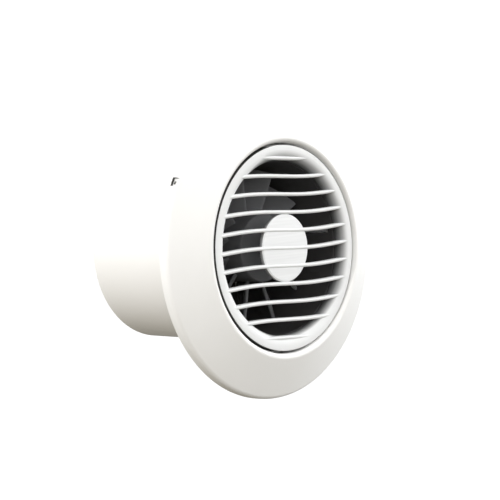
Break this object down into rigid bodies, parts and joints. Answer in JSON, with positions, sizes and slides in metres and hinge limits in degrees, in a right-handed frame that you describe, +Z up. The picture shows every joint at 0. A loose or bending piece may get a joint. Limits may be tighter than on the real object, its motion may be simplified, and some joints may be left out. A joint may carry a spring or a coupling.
{
  "type": "axial duct extractor fan",
  "caption": "Round wall-mounted axial extractor fan: domed front cover, waved louvre grille, impeller and motor in a duct spigot with a backdraught shutter.",
  "frame": {"origin": "centre of the wall plane, on the fan's axis", "axes": "+X to the right seen from the room, +Y along the duct away from the room, +Z up"},
  "size_m": [0.16, 0.0977, 0.16],
  "materials": {
    "cover_plastic": "white moulded plastic, satin",
    "housing_plastic": "off-white moulded plastic, satin",
    "dark_plastic": "black moulded plastic, satin",
    "impeller_plastic": "grey moulded plastic, satin",
    "flap_plastic": "thin grey-white moulded plastic",
    "terminal_plastic": "ivory moulded plastic",
    "lead_sheath": "grey flexible cable sheath",
    "black_rubber": "black rubber, dull",
    "seal_foam": "dark closed-cell foam",
    "steel": "zinc-plated steel",
    "spring_steel": "drawn stainless wire",
    "motor_zinc": "zinc-plated pressed shield",
    "lamination": "varnished steel laminations",
    "winding": "enamelled copper wire",
    "bearing_bronze": "sintered bronze",
    "brass": "turned brass"
  },
  "bodies": {
    "housing": {"fan_housing": "housing_plastic", "wall_seal": "seal_foam", "motor_carrier": "dark_plastic", "motor_front_shield": "motor_zinc", "motor_rear_shield": "motor_zinc", "stator_core": "lamination", "stator_coil_1": "winding", "stator_coil_2": "winding", "stator_coil_3": "winding", "stator_coil_4": "winding", "front_bearing": "bearing_bronze", "rear_bearing": "bearing_bronze", "tie_bolt_1": "steel", "tie_bolt_2": "steel", "rubber_bush_1": "black_rubber", "rubber_bush_2": "black_rubber", "rubber_bush_3": "black_rubber", "motor_screw_1": "steel", "motor_screw_2": "steel", "motor_screw_3": "steel", "terminal_block": "terminal_plastic", "terminal_screw_1": "brass", "terminal_screw_2": "brass", "terminal_screw_3": "brass", "cable_grommet": "black_rubber", "cable_clamp": "terminal_plastic", "clamp_screw_1": "steel", "clamp_screw_2": "steel", "motor_lead": "lead_sheath", "shutter_frame": "housing_plastic", "shutter_pin": "steel", "shutter_spring": "spring_steel"},
    "rotor": {"impeller": "impeller_plastic", "motor_shaft": "steel", "rotor_core": "lamination", "impeller_nut": "steel"},
    "cover": {"front_cover": "cover_plastic"},
    "grille": {"grille_insert": "cover_plastic"},
    "right_flap": {"shutter_flap_right": "flap_plastic"},
    "left_flap": {"shutter_flap_left": "flap_plastic"}
  },
  "joints": [
    {"name": "impeller_spin", "type": "hinge", "parent": "housing", "child": "rotor", "pos_m": [0, 0.011, 0], "axis": [0, 1, 0], "continuous": true},
    {"name": "cover_pull", "type": "slide", "parent": "housing", "child": "cover", "axis": [0, -1, 0], "range_m": [0, 0.04]},
    {"name": "grille_pull", "type": "slide", "parent": "cover", "child": "grille", "axis": [0, -1, 0], "range_m": [0, 0.02]},
    {"name": "right_flap_hinge", "type": "hinge", "parent": "housing", "child": "right_flap", "pos_m": [0, 0.0655, 0], "axis": [0, 0, 1], "range_deg": [0, 75], "stiffness_Nm_per_rad": 0.0004, "springref_deg": -11.46},
    {"name": "left_flap_hinge", "type": "hinge", "parent": "housing", "child": "left_flap", "pos_m": [0, 0.0655, 0], "axis": [0, 0, -1], "range_deg": [0, 75], "stiffness_Nm_per_rad": 0.0004, "springref_deg": -11.46}
  ]
}
